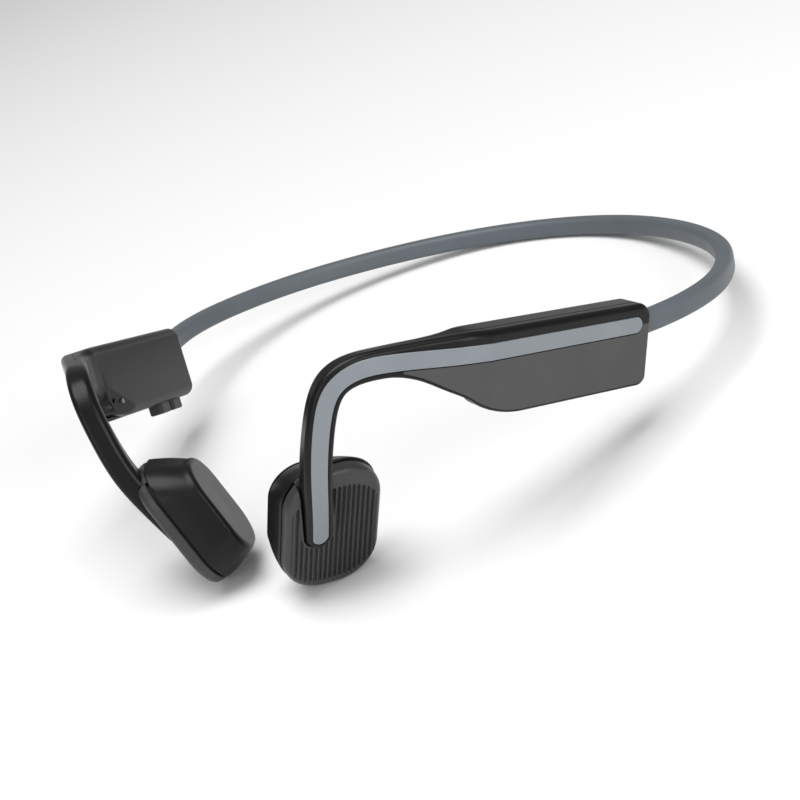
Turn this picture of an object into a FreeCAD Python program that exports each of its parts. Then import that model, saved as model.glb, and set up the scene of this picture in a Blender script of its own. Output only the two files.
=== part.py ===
import FreeCAD, Part
import math
import os
import re
import Sketcher
from FreeCAD import Placement, Rotation, Vector

# Open-ear bone conduction headphones: two housings on a sprung neckband, each with an ear hook that
# carries a transducer. Millimetres and degrees. X points forward, Y to the wearer's left, Z up.
# The set stands on a table on the back of its neckband and on the two transducers. The left half is
# modelled, and what both sides share is mirrored in the XZ plane.

doc = FreeCAD.newDocument("BoneConductionHeadphones")
sheet = doc.addObject("Spreadsheet::Sheet", "Sheet")

DIMENSIONS = {
    # how the set stands
    "rest_tilt": 8.635, "rest_shift_x": -68.7, "rest_shift_z": 2.16,
    # neckband
    "band_plane_tilt": 3.4, "band_height": 4.1, "band_thickness": 3.6, "band_corner": 1.2,
    "band_radius_back": 58.8, "band_radius_side": 72.3, "band_radius_front": 58.1,
    "band_radius_end": 37.9, "band_arc_length": 29.0, "band_insert": 2.6,
    "core_diameter": 1.1, "core_offset": 1.0, "core_tail": 5.0,
    "loom_diameter": 1.0, "loom_offset": 0.85,
    # place of the left housing
    "unit_x": 79.15, "unit_y": 56.43, "unit_z": 5.71, "toe_in": 18.0, "pitch": 15.0, "camber": 6.9,
    # housing, in its own frame: x forward, y down, z outward
    "housing_top": 3.6, "housing_drop": 11.4, "housing_floor_length": 40.3, "housing_length": 54.5,
    "housing_neck": 2.7, "housing_outer": 3.45, "housing_inner": 4.3, "housing_rear_step": 0.5,
    "flat_length": 39.2, "neck_shift": 0.9, "inner_bend": 46.4,
    "front_radius": 8.0, "parting": 1.0, "wall": 1.2, "outer_wall": 1.4, "cavity_length": 41.2,
    "rear_corner": 2.0, "front_corner": 4.5, "housing_lean": 28.0, "housing_prism": 24.0,
    # ear hook and the strip let into it
    "hook_width": 5.0, "hook_thickness": 4.4, "hook_corner": 1.3, "hook_core_diameter": 1.2,
    "strip_width": 3.0, "strip_thickness": 0.7, "strip_start": 2.2, "strip_gap": 0.12,
    # transducer, in its own frame: x forward, y down the face, z outward
    "face_x": 56.17, "face_y": 33.3, "face_z": -16.18, "face_yaw": 7.6, "face_pitch": 13.2,
    "face_roll": -17.4, "face_width": 18.1, "face_height": 25.6, "face_corner": 7.0,
    "cover_depth": 2.6, "cover_top": 1.2, "cover_wall": 0.9, "cover_edge": 1.1,
    "rib_pitch": 0.95, "rib_width": 0.45, "rib_depth": 0.35, "rib_count": 17,
    "case_width": 15.9, "case_height": 23.4, "case_corner": 6.0, "case_top": 1.75,
    "case_flange": 3.0, "pot_width": 13.2, "pot_height": 17.4, "pot_corner": 4.8, "pot_bottom": 8.6,
    "pot_wall": 0.7, "pot_shift_x": 0.7, "pot_shift_y": 1.25,
    "pad_mid_depth": 9.35, "pad_mid_width": 15.65, "pad_mid_height": 20.0, "pad_depth": 10.35,
    "pad_end_width": 13.65, "pad_end_height": 18.0,
    "spring_thickness": 0.3, "yoke_radius": 5.7, "yoke_height": 3.6, "yoke_wall": 0.6,
    "yoke_floor": 0.8, "magnet_radius": 3.8, "magnet_height": 2.1, "coil_outer": 4.8,
    "coil_inner": 4.2, "coil_height": 3.0,
    # battery side
    "battery_length": 28.0, "battery_height": 11.0, "battery_thickness": 4.3, "battery_corner": 0.7,
    # electronics side
    "board_length": 31.9, "board_height": 10.4, "board_thickness": 0.8,
    "usb_width": 8.94, "usb_height": 3.16, "usb_depth": 6.9, "usb_corner": 1.4, "usb_wall": 0.3,
    "button_length": 5.0, "button_width": 3.2, "button_stand": 2.1, "button_flange": 0.4,
    "button_gap": 0.15, "flap_length": 12.4, "flap_width": 4.2, "flap_thickness": 0.8,
}


def fill_sheet():
    for row, (alias, number) in enumerate(DIMENSIONS.items(), start=1):
        sheet.set(f"A{row}", alias)
        sheet.set(f"B{row}", str(number))
        sheet.setAlias(f"B{row}", alias)
    doc.recompute()


fill_sheet()


def dim(alias):
    return float(sheet.get(alias))


def evaluate(expression):
    """Number that an expression of sheet aliases gives, for a first value before it is bound."""
    if isinstance(expression, (int, float)):
        return float(expression)
    words = expression.replace("Sheet.", "")
    total = 0.0
    for term in words.replace("-", "+-").split("+"):
        if not term.strip():
            continue
        product = 1.0
        for factor in term.split("*"):
            name = factor.strip()
            if name.startswith("-"):
                product = -product
                name = name[1:].strip()
            product *= float(name) if name.replace(".", "", 1).isdigit() else dim(name)
        total += product
    return total


# ---------------------------------------------------------------- frames

STAND = Placement(Vector(dim("rest_shift_x"), 0, dim("rest_shift_z")),
                  Rotation(Vector(0, 1, 0), -dim("rest_tilt")))
BAND = STAND.multiply(Placement(Vector(), Rotation(Vector(0, 1, 0), -dim("band_plane_tilt"))))
UNIT = STAND.multiply(Placement(Vector(dim("unit_x"), dim("unit_y"), dim("unit_z")),
                                Rotation(-dim("toe_in"), -dim("pitch"), -dim("camber") - 90)))
FACE = UNIT.multiply(Placement(Vector(dim("face_x"), dim("face_y"), dim("face_z")),
                               Rotation(dim("face_yaw"), dim("face_pitch"), dim("face_roll"))))
POT_SHIFT = Vector(dim("pot_shift_x"), dim("pot_shift_y"), 0)


def at(frame, x=0.0, y=0.0, z=0.0, rotation=None):
    return frame.multiply(Placement(Vector(x, y, z), rotation or Rotation()))


# ---------------------------------------------------------------- sketches and features

def origin_plane(body, role):
    return next(item for item in body.Origin.OriginFeatures if item.Role == role)


def new_body(name, frame):
    body = doc.addObject("PartDesign::Body", name)
    body.Label = name
    body.Placement = frame
    doc.recompute()
    return body


def new_sketch(body, name, offset=None, role="XY_Plane"):
    sketch = body.newObject("Sketcher::SketchObject", name)
    sketch.AttachmentSupport = (origin_plane(body, role), [""])
    sketch.MapMode = "FlatFace"
    if offset is not None:
        sketch.AttachmentOffset = Placement(Vector(0, 0, evaluate(offset)), Rotation())
        sketch.setExpression("AttachmentOffset.Base.z", bound(offset))
    return sketch


def bound(expression):
    """The expression with each alias read from the sheet."""
    return re.sub(r"[a-z][a-z_]+", lambda word: "Sheet." + word.group(), str(expression))


def polygon(sketch, corners):
    """Closed outline whose corners are pairs of sheet expressions."""
    points = [Vector(evaluate(x), evaluate(y), 0) for x, y in corners]
    count = len(points)
    for index, point in enumerate(points):
        sketch.addGeometry(Part.LineSegment(point, points[(index + 1) % count]), False)
    for index in range(count):
        sketch.addConstraint(Sketcher.Constraint("Coincident", index, 2, (index + 1) % count, 1))
    for index, (x, y) in enumerate(corners):
        for kind, letter, expression, number in (("DistanceX", "x", x, points[index].x),
                                                 ("DistanceY", "y", y, points[index].y)):
            place = sketch.addConstraint(Sketcher.Constraint(kind, -1, 1, index, 1, number))
            name = f"{letter}{index}"
            sketch.renameConstraint(place, name)
            sketch.setExpression(f"Constraints.{name}", bound(expression))


def round_box(sketch, width, height, corner, shift=("0", "0")):
    """Rectangle with round corners about the point shift; sizes are sheet expressions."""
    wide, high, bend = evaluate(width) / 2, evaluate(height) / 2, evaluate(corner)
    middle = Vector(evaluate(shift[0]), evaluate(shift[1]), 0)
    quarter = math.pi / 2
    ends = [(Vector(wide - bend, high, 0), Vector(-wide + bend, high, 0)),
            (Vector(-wide, high - bend, 0), Vector(-wide, -high + bend, 0)),
            (Vector(-wide + bend, -high, 0), Vector(wide - bend, -high, 0)),
            (Vector(wide, -high + bend, 0), Vector(wide, high - bend, 0))]
    for start, end in ends:
        sketch.addGeometry(Part.LineSegment(middle + start, middle + end), False)
    for index, (sign_x, sign_y) in enumerate(((-1, 1), (-1, -1), (1, -1), (1, 1))):
        centre = middle + Vector(sign_x * (wide - bend), sign_y * (high - bend), 0)
        circle = Part.Circle(centre, Vector(0, 0, 1), bend)
        turn = quarter * (index + 1)
        sketch.addGeometry(Part.ArcOfCircle(circle, turn, turn + quarter), False)
    for index in range(4):
        arc = 4 + index
        sketch.addConstraint(Sketcher.Constraint("Tangent", index, 2, arc, 1))
        sketch.addConstraint(Sketcher.Constraint("Tangent", arc, 2, (index + 1) % 4, 1))
    for index, kind in ((0, "Horizontal"), (2, "Horizontal"), (1, "Vertical"), (3, "Vertical")):
        sketch.addConstraint(Sketcher.Constraint(kind, index))
    for arc in (5, 6, 7):
        sketch.addConstraint(Sketcher.Constraint("Equal", 4, arc))
    sizes = (("corner", Sketcher.Constraint("Radius", 4, bend), corner),
             ("left", Sketcher.Constraint("DistanceX", -1, 1, 1, 1, middle.x - wide),
              f"{shift[0]} - ({width}) / 2"),
             ("right", Sketcher.Constraint("DistanceX", -1, 1, 3, 1, middle.x + wide),
              f"{shift[0]} + ({width}) / 2"),
             ("low", Sketcher.Constraint("DistanceY", -1, 1, 2, 1, middle.y - high),
              f"{shift[1]} - ({height}) / 2"),
             ("high", Sketcher.Constraint("DistanceY", -1, 1, 0, 1, middle.y + high),
              f"{shift[1]} + ({height}) / 2"))
    for name, constraint, expression in sizes:
        place = sketch.addConstraint(constraint)
        sketch.renameConstraint(place, name)
        sketch.setExpression(f"Constraints.{name}", bound(expression))


def extrude(body, kind, sketch, length, reverse=False):
    """A Pad or Pocket of the sketch; length is a sheet expression."""
    feature = body.newObject(kind, sketch.Name + "_" + kind.split("::")[1])
    feature.Profile = sketch
    feature.Length = evaluate(length)
    feature.setExpression("Length", bound(length))
    feature.Reversed = reverse
    doc.recompute()
    return feature


def pad(body, sketch, length, reverse=False):
    return extrude(body, "PartDesign::Pad", sketch, length, reverse)


def pocket(body, sketch, length, reverse=False):
    """Pocket that has to take material away."""
    before = body.Shape.Volume
    feature = extrude(body, "PartDesign::Pocket", sketch, length, reverse)
    if body.Shape.Volume > before - 1e-6:
        raise RuntimeError(f"{feature.Name} cuts nothing")
    return feature


def round_edges(body, name, edges, radius):
    """Fillet of the body's last feature; radius is a sheet expression."""
    last = body.Tip
    fillet = body.newObject("PartDesign::Fillet", name)
    fillet.Base = (last, edges)
    fillet.Radius = evaluate(radius)
    fillet.setExpression("Radius", bound(radius))
    doc.recompute()
    return fillet


def primitive(kind, name, frame, **sizes):
    """Part primitive whose sizes are sheet expressions."""
    item = doc.addObject(kind, name)
    item.Label = name
    for prop, expression in sizes.items():
        item.setExpression(prop, bound(expression))
    item.Placement = frame
    return item


def box(name, frame, length, width, height):
    return primitive("Part::Box", name, frame, Length=length, Width=width, Height=height)


def cylinder(name, frame, radius, height):
    return primitive("Part::Cylinder", name, frame, Radius=radius, Height=height)


def cut(name, base, *tools):
    """Part::Cut of base by each tool in turn; the last cut carries the name."""
    result = base
    for index, tool in enumerate(tools):
        item = doc.addObject("Part::Cut", name if index == len(tools) - 1 else f"{name}_step{index}")
        item.Base = result
        item.Tool = tool
        result = item
    result.Label = name
    doc.recompute()
    return result


def join(name, *items):
    union = doc.addObject("Part::MultiFuse", name)
    union.Shapes = list(items)
    union.Label = name
    doc.recompute()
    return union


def shaped(name, shape, frame):
    """Part::Feature for a form that no feature or primitive gives."""
    item = doc.addObject("Part::Feature", name)
    item.Label = name
    item.Shape = shape
    item.Placement = frame
    return item


def mirrored(name, source):
    item = doc.addObject("Part::Mirroring", name)
    item.Source = source
    item.Normal = Vector(0, 1, 0)
    item.Base = Vector(0, 0, 0)
    item.Label = name
    doc.recompute()
    return item


# ---------------------------------------------------------------- neckband

SOCKET_GAP = 0.3    # how much wider and deeper a housing's socket is than the sleeve


def arc_point(centre, radius, angle):
    return centre + Vector(-math.cos(angle), math.sin(angle), 0) * radius


def band_stations(tail):
    """Corner points and headings of the half band's tangent arcs, then a straight tail."""
    point, heading = Vector(0, 0, 0), 0.0
    stations = [(point, heading)]
    length = dim("band_arc_length")
    for name in ("band_radius_back", "band_radius_side", "band_radius_front", "band_radius_end"):
        radius = dim(name)
        centre = point + Vector(math.cos(heading), -math.sin(heading), 0) * radius
        middle = heading + length / radius / 2
        heading += length / radius
        stations.append((arc_point(centre, radius, middle), middle))
        point = arc_point(centre, radius, heading)
        stations.append((point, heading))
    end = point + Vector(math.sin(heading), math.cos(heading), 0) * tail
    return stations, end


def band_path(tail):
    stations, end = band_stations(tail)
    points = [place for place, _ in stations]
    edges = [Part.Arc(points[i], points[i + 1], points[i + 2]).toShape()
             for i in range(0, len(points) - 1, 2)]
    edges.append(Part.makeLine(points[-1], end))
    return Part.Wire(edges)


def band_tube(section, tail):
    """Half of the band: the section, drawn at its back, carried along the path; then both halves."""
    half = band_path(tail).makePipeShell([section], True, False, 0)
    return half.fuse(half.mirror(Vector(), Vector(0, 1, 0))).removeSplitter()


def round_rectangle(centre, across, along, width, height, corner):
    """Wire with round corners in the plane of the unit vectors across and along."""
    wide, high = width / 2, height / 2

    def point(a, b):
        return centre + across * a + along * b

    bend = corner * (1 - math.sqrt(0.5))
    edges = []
    for sign_a, sign_b in ((1, 1), (-1, 1), (-1, -1), (1, -1)):
        side = point(sign_a * wide, sign_b * (high - corner))
        cap = point(sign_a * (wide - corner), sign_b * high)
        corner_point = point(sign_a * (wide - bend), sign_b * (high - bend))
        start, end = (side, cap) if sign_a * sign_b > 0 else (cap, side)
        edges.append((start, corner_point, end))
    wire = []
    for index, (start, middle, end) in enumerate(edges):
        wire.append(Part.Arc(start, middle, end).toShape())
        wire.append(Part.makeLine(end, edges[(index + 1) % 4][0]))
    return Part.Wire(wire)


def circle(centre, normal, diameter):
    return Part.Wire([Part.makeCircle(diameter / 2, centre, normal)])


def band_section(grow=0.0):
    return round_rectangle(Vector(), Vector(1, 0, 0), Vector(0, 0, 1), dim("band_thickness") + grow,
                           dim("band_height") + grow, dim("band_corner") + grow / 2)


def band_lines():
    """The core wire and the cable loom run inside the sleeve, one above the other."""
    heights = {"neckband_core": (dim("core_offset"), dim("core_diameter")),
               "neckband_loom": (-dim("loom_offset"), dim("loom_diameter"))}
    shapes = {}
    for name, (height, diameter) in heights.items():
        section = circle(Vector(0, 0, height), Vector(0, 1, 0), diameter)
        path = band_path(dim("core_tail"))
        path.translate(Vector(0, 0, height))
        half = path.makePipeShell([section], True, False, 0)
        shapes[name] = half.fuse(half.mirror(Vector(), Vector(0, 1, 0))).removeSplitter()
    return shapes


def make_neckband():
    lines = band_lines()
    sleeve = band_tube(band_section(), dim("band_insert"))
    for line in lines.values():
        sleeve = sleeve.cut(line)
    nodes = {"neckband_sleeve": shaped("neckband_sleeve", sleeve, BAND)}
    for name, line in lines.items():
        nodes[name] = shaped(name, line, BAND)
    return nodes


def band_hole():
    """The sleeve a little larger, which makes its sockets in the housings."""
    return shaped("band_hole", band_tube(band_section(SOCKET_GAP), dim("band_insert") + SOCKET_GAP),
                  BAND)


# ---------------------------------------------------------------- housing

PAST_REAR = -5.0        # cutting shapes begin behind the housing and are taller than it
SLAB_TALL = 40.0


def outer_profile(depth):
    """Side of the housing seen from above: flat, an arc, then straight and leaning inward to where
    the hook begins. depth moves the line inward along its own normal."""
    lean = math.radians(dim("housing_lean"))
    radius = dim("front_radius") - depth
    centre = Vector(dim("flat_length"), 0, dim("housing_outer") - dim("front_radius"))
    start, middle, bend_end = [centre + Vector(math.sin(turn), 0, math.cos(turn)) * radius
                               for turn in (0, lean / 2, lean)]
    full_bend = dim("flat_length") + dim("front_radius") * math.sin(lean)
    run = (dim("housing_length") - full_bend) / math.cos(lean)
    end = bend_end + Vector(math.cos(lean), 0, -math.sin(lean)) * run
    return start, middle, bend_end, end


def slab(name, edges):
    """Slab taller than the housing over a closed outline that is seen from above."""
    face = Part.Face(Part.Wire(Part.__sortEdges__(edges)))
    face.translate(Vector(0, -SLAB_TALL / 2, 0))
    return shaped(name, face.extrude(Vector(0, SLAB_TALL, 0)), UNIT)


def profile_edges(start, middle, bend_end, end):
    return [Part.Arc(start, middle, bend_end).toShape(), Part.makeLine(bend_end, end)]


def outer_slab(thickness):
    """The outermost layer of the housing, of one thickness along the bent outer side."""
    high, low = outer_profile(0.0), outer_profile(thickness)
    rear, low_rear = Vector(PAST_REAR, 0, high[0].z), Vector(PAST_REAR, 0, low[0].z)
    return slab("outer_side", [Part.makeLine(rear, high[0]), *profile_edges(*high),
                               Part.makeLine(high[-1], low[-1]), *profile_edges(*low),
                               Part.makeLine(low[0], low_rear), Part.makeLine(low_rear, rear)])


def inner_slab(depth):
    """All of the housing that lies inside the outermost layer, down to its inner face."""
    profile = outer_profile(depth)
    back = -dim("housing_inner")
    lean = math.radians(dim("housing_lean"))
    rest = dim("hook_thickness") - depth
    foot = profile[-1] - Vector(math.sin(lean), 0, math.cos(lean)) * rest
    rear = Vector(PAST_REAR, 0, profile[0].z)
    points = [profile[-1], foot, Vector(dim("inner_bend"), 0, back), Vector(PAST_REAR, 0, back), rear]
    edges = [Part.makeLine(rear, profile[0]), *profile_edges(*profile)]
    edges += [Part.makeLine(first, second) for first, second in zip(points, points[1:])]
    return slab("inner_side", edges)


def upright_edges(body, test):
    """Names of the prism's upright edges whose foot passes the test."""
    names = []
    for index, edge in enumerate(body.Tip.Shape.Edges, start=1):
        limits = edge.BoundBox
        if limits.ZLength > dim("housing_prism") - 1 and limits.XLength < 1e-6:
            if test(edge.Vertexes[0].Point):
                names.append(f"Edge{index}")
    return names


def make_outline():
    """Prism of the housing's side view, with its rear and lower front corners rounded."""
    name = "housing_outline"
    body = new_body(name, at(UNIT, z=-dim("housing_prism") / 2))
    sketch = new_sketch(body, name + "_sketch")
    polygon(sketch, [("0", "-housing_top"), ("housing_rear_step", "housing_drop"),
                     ("housing_floor_length", "housing_drop"),
                     ("housing_length", "housing_neck + neck_shift"),
                     ("housing_length + 3", "housing_neck + neck_shift"),
                     ("housing_length + 3", "neck_shift - housing_neck"),
                     ("housing_length", "neck_shift - housing_neck"),
                     ("flat_length - 3", "-housing_top")])
    pad(body, sketch, "housing_prism")
    rear = upright_edges(body, lambda foot: foot.x < 2)
    round_edges(body, name + "_rear", rear, "rear_corner")
    front = upright_edges(body, lambda foot: 35 < foot.x < 45 and foot.y > 5)
    round_edges(body, name + "_front", front, "front_corner")
    return body


def make_cavity():
    """Prism of the hollow inside: the side view less the walls, ending short of the hook."""
    name = "housing_cavity"
    body = new_body(name, at(UNIT, z=-dim("housing_prism") / 2))
    sketch = new_sketch(body, name + "_sketch")
    polygon(sketch, [("wall + 0.3", "-housing_top + wall"),
                     ("wall + housing_rear_step", "housing_drop - wall"),
                     ("housing_floor_length - 0.4", "housing_drop - wall"),
                     ("cavity_length", "housing_neck + 5.0"),
                     ("cavity_length", "-housing_top + wall + 0.4"),
                     ("flat_length - 8", "-housing_top + wall")])
    pad(body, sketch, "housing_prism")
    return body


def common(name, *items):
    shape = doc.addObject("Part::MultiCommon", name)
    shape.Shapes = list(items)
    shape.Label = name
    doc.recompute()
    return shape


def make_shells():
    """Outer and inner half shells of the left housing, hollow and open to each other."""
    outline = make_outline()
    depth_slab = box("cavity_slab",
                     at(UNIT, PAST_REAR, -SLAB_TALL / 2, -dim("housing_inner") + dim("wall")),
                     "housing_length + 10", str(SLAB_TALL),
                     "housing_inner - wall + housing_outer - outer_wall")
    hollow = common("housing_hollow", make_cavity(), depth_slab)
    thickness = dim("housing_outer") - dim("parting")
    outer = cut("outer_shell_blank", common("outer_block", outline, outer_slab(thickness)), hollow)
    inner = cut("inner_shell_blank", common("inner_block", outline, inner_slab(thickness)), hollow)
    return outer, inner


# ---------------------------------------------------------------- ear hook

HOOK_LINE = (
    # middle of the outer face, and which way that face looks
    (Vector(39.0, 0.0, 3.45), Vector(0.00, 0.00, 1.00)),
    (Vector(42.6, 0.1, 2.66), Vector(0.33, 0.00, 0.94)),
    (Vector(45.7, 0.4, 1.08), Vector(0.46, 0.00, 0.89)),
    (Vector(49.7, 0.7, -1.08), Vector(0.47, -0.02, 0.88)),
    (Vector(54.2, 1.1, -3.45), Vector(0.46, -0.05, 0.89)),
    (Vector(58.9, 1.9, -5.70), Vector(0.45, -0.05, 0.89)),
    (Vector(62.5, 4.0, -7.45), Vector(0.45, 0.12, 0.89)),
    (Vector(64.5, 7.8, -8.50), Vector(0.43, 0.16, 0.89)),
    (Vector(64.6, 14.5, -9.70), Vector(0.37, 0.20, 0.90)),
    (Vector(63.5, 21.6, -11.2), Vector(0.27, 0.28, 0.92)),
    (Vector(61.4, 28.2, -13.5), Vector(0.19, 0.32, 0.93)),
    (Vector(59.4, 34.0, -15.9), Vector(0.176, 0.325, 0.929)),
)


HOOK_START = 3.75                 # where the hook leaves the housing, in points of HOOK_LINE
CORE_ENDS = 1.0, 9.6              # where its core wire begins and ends, counted the same way
TIP_TURNS = 0, 20, 40, 58, 74     # degrees round the half-round tip of a bar
STRIP_CORNER = 0.05
GROOVE_TALL = 3.0                 # the cutter of the strip's groove stands out of the hook
WIRE_STEPS = 14


def hook_curves():
    order = [float(index) for index in range(len(HOOK_LINE))]
    line, normal = Part.BSplineCurve(), Part.BSplineCurve()
    line.interpolate(Points=[point for point, _ in HOOK_LINE], Parameters=order)
    normal.interpolate(Points=[outward for _, outward in HOOK_LINE], Parameters=order)
    return line, normal


def hook_frames(first, last, count):
    """Point, forward tangent, across and outward vectors at even steps along the hook."""
    line, normal = hook_curves()
    frames = []
    for step in range(count):
        place = first + (last - first) * step / (count - 1)
        tangent = line.tangent(place)[0].normalize()
        outward = normal.value(place)
        outward = (outward - tangent * outward.dot(tangent)).normalize()
        frames.append((line.value(place), tangent, tangent.cross(outward), outward))
    return frames


def hook_bar(first, width, thickness, corner, lift=0.0, steps=16):
    """Bar of round-cornered section along the hook, its outer face lifted off the hook's line,
    ending in a half-round tip."""
    last = len(HOOK_LINE) - 1
    frames = hook_frames(first, last, steps)
    wires = []
    for point, _, across, outward in frames:
        middle = point + outward * (lift - thickness / 2)
        wires.append(round_rectangle(middle, across, outward, width, thickness, corner))
    bar = Part.makeLoft(wires, True, False)
    point, tangent, across, outward = frames[-1]
    tip_wires = []
    for turn in TIP_TURNS:
        reach, narrow = math.sin(math.radians(turn)), math.cos(math.radians(turn))
        middle = point + outward * (lift - thickness / 2) + tangent * (reach * width / 2)
        tip_wires.append(round_rectangle(middle, across, outward, width * narrow, thickness,
                                         min(corner, 0.4 * width * narrow)))
    return bar.fuse(Part.makeLoft(tip_wires, True, True))


def strip_bar(width, thickness, lift):
    """The trim strip from the back of the housing to the tip of the hook."""
    bar = hook_bar(0.0, width, thickness, STRIP_CORNER, lift)
    flat_end = HOOK_LINE[0][0].x
    top = dim("housing_outer") + lift
    start = dim("strip_start") + dim("strip_width") / 2
    run = Part.makeBox(flat_end - start, width, thickness, Vector(start, -width / 2, top - thickness))
    cap = Part.makeCylinder(width / 2, thickness, Vector(start, 0, top - thickness), Vector(0, 0, 1))
    return bar.fuse([run, cap]).removeSplitter()


def wire_along_hook(diameter, first, last, depth):
    frames = hook_frames(first, last, WIRE_STEPS)
    wires = [circle(point - outward * depth, tangent, diameter)
             for point, tangent, _, outward in frames]
    return Part.makeLoft(wires, True, False)


def make_hook_parts():
    gap = dim("strip_gap")
    depth = dim("hook_thickness") / 2
    groove = strip_bar(dim("strip_width") + 2 * gap, GROOVE_TALL,
                       GROOVE_TALL - dim("strip_thickness") - gap / 2)
    strip = strip_bar(dim("strip_width"), dim("strip_thickness"), 0.0)
    core = wire_along_hook(dim("hook_core_diameter"), *CORE_ENDS, depth)
    hook = hook_bar(HOOK_START, dim("hook_width"), dim("hook_thickness"), dim("hook_corner"))
    hook = hook.cut(groove).cut(core)
    return hook, strip, core, groove


# ---------------------------------------------------------------- transducer

def make_cover_blank(name):
    """Ribbed cover of a transducer before the hook's slot: a shallow cap open underneath."""
    body = new_body(name, FACE)
    outside = new_sketch(body, name + "_outside", "-cover_depth")
    round_box(outside, "face_width", "face_height", "face_corner")
    pad(body, outside, "cover_depth")
    names = [f"Edge{i}" for i, edge in enumerate(body.Tip.Shape.Edges, start=1)
             if edge.BoundBox.ZLength < 1e-6 and abs(edge.BoundBox.ZMax) < 1e-6]
    round_edges(body, name + "_edge", names, "cover_edge")
    inside = new_sketch(body, name + "_inside", "-cover_depth")
    round_box(inside, "face_width - 2 * cover_wall", "face_height - 2 * cover_wall",
              "face_corner - cover_wall")
    pocket(body, inside, "cover_depth - cover_top", reverse=True)
    return body


RIB_TOP_MARGIN = 5.0    # smooth ends of the ribbed face, from its rounded outline
RIB_LOW_MARGIN = 1.6
OUTLINE_POWER = 3.2     # the outline is close to a superellipse of this power


def rib_grooves():
    """The grooves between the ribs, which run down the face inside a smooth margin."""
    count = int(dim("rib_count"))
    pitch, wide = dim("rib_pitch"), dim("rib_width")
    half = dim("face_height") / 2
    bars = []
    for index in range(count):
        offset = (index - (count - 1) / 2) * pitch
        across = abs(2 * offset / dim("face_width"))
        drop = half * (1 - across ** OUTLINE_POWER) ** (1 / OUTLINE_POWER)
        top, low = -drop + RIB_TOP_MARGIN, drop - RIB_LOW_MARGIN
        bars.append(Part.makeBox(wide, low - top, dim("rib_depth") + 1,
                                 Vector(offset - wide / 2, top, -dim("rib_depth"))))
    return Part.makeCompound(bars)


FIT = 0.1       # play between a piece and the hollow that holds it
ROOF = 0.3      # what is left of a case's roof over the motor


def make_case(name):
    """Case of a transducer: a flange under the cover and a pot that holds the motor."""
    body = new_body(name, FACE)
    flange = new_sketch(body, name + "_flange", "-case_flange")
    round_box(flange, "case_width", "case_height", "case_corner")
    pad(body, flange, "case_flange - case_top")
    pot = new_sketch(body, name + "_pot", "-pot_bottom")
    round_box(pot, "pot_width", "pot_height", "pot_corner", ("pot_shift_x", "pot_shift_y"))
    pad(body, pot, "pot_bottom - case_flange")
    hollow = new_sketch(body, name + "_hollow", "-pot_bottom")
    round_box(hollow, "pot_width - 2 * pot_wall", "pot_height - 2 * pot_wall",
              "pot_corner - pot_wall", ("pot_shift_x", "pot_shift_y"))
    pocket(body, hollow, f"pot_bottom - case_flange - {ROOF}", reverse=True)
    return body


def make_pad(name):
    """Soft ear pad: tapers from the flange to the flat that rests on the cheekbone."""
    body = new_body(name, FACE)
    levels = (("-case_flange", "face_width", "face_height", "face_corner", ("0", "0")),
              ("-pad_mid_depth", "pad_mid_width", "pad_mid_height", "face_corner - 0.8",
               ("pot_shift_x", "pot_shift_y")),
              ("-pad_depth", "pad_end_width", "pad_end_height", "face_corner - 1.8",
               ("pot_shift_x", "pot_shift_y")))
    sketches = []
    for index, (depth, width, height, corner, shift) in enumerate(levels):
        sketch = new_sketch(body, f"{name}_level{index}", depth)
        round_box(sketch, width, height, corner, shift)
        sketches.append(sketch)
    doc.recompute()
    loft = body.newObject("PartDesign::AdditiveLoft", name + "_loft")
    loft.Profile = sketches[0]
    loft.Sections = sketches[1:]
    loft.Ruled = True
    doc.recompute()
    hollow = new_sketch(body, name + "_hollow", "-case_flange")
    round_box(hollow, f"pot_width + {FIT}", f"pot_height + {FIT}", "pot_corner",
              ("pot_shift_x", "pot_shift_y"))
    pocket(body, hollow, f"pot_bottom - case_flange + {FIT}")
    return body


def make_motor(side):
    """Spring plate, coil, magnet and yoke, stacked along the transducer's axis."""
    x, y = POT_SHIFT.x, POT_SHIFT.y
    bottom = -dim("pot_bottom")
    plate_body = new_body(f"{side}_spring_plate", FACE)
    sketch = new_sketch(plate_body, f"{side}_spring_plate_outline", f"-pot_bottom + {FIT}")
    round_box(sketch, f"pot_width - 2 * pot_wall - 2 * {FIT}",
              f"pot_height - 2 * pot_wall - 2 * {FIT}", f"pot_corner - pot_wall - {FIT}",
              ("pot_shift_x", "pot_shift_y"))
    pad(plate_body, sketch, "spring_thickness")
    coil_foot = bottom + FIT + dim("spring_thickness")
    coil = cut(f"{side}_voice_coil",
               cylinder(f"{side}_coil_outside", at(FACE, x, y, coil_foot), "coil_outer", "coil_height"),
               cylinder(f"{side}_coil_inside", at(FACE, x, y, coil_foot), "coil_inner", "coil_height"))
    roof = -dim("case_flange") - ROOF
    yoke_foot = roof - dim("yoke_height")
    yoke = cut(f"{side}_yoke",
               cylinder(f"{side}_yoke_outside", at(FACE, x, y, yoke_foot), "yoke_radius", "yoke_height"),
               cylinder(f"{side}_yoke_inside", at(FACE, x, y, yoke_foot), "yoke_radius - yoke_wall",
                        "yoke_height - yoke_floor"))
    magnet = cylinder(f"{side}_magnet",
                      at(FACE, x, y, roof - dim("yoke_floor") - dim("magnet_height")),
                      "magnet_radius", "magnet_height")
    return {f"{side}_spring_plate": plate_body, f"{side}_voice_coil": coil, f"{side}_yoke": yoke,
            f"{side}_magnet": magnet}


# ---------------------------------------------------------------- battery side

def rounded_block(name, frame, length, width, height, corner):
    """Block of sheet sizes with all its edges rounded."""
    body = new_body(name, frame)
    sketch = new_sketch(body, name + "_outline")
    polygon(sketch, [("0", "0"), (length, "0"), (length, width), ("0", width)])
    feature = pad(body, sketch, height)
    round_edges(body, name + "_fillet", [f"Edge{i + 1}" for i in range(len(feature.Shape.Edges))],
                corner)
    return body


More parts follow.
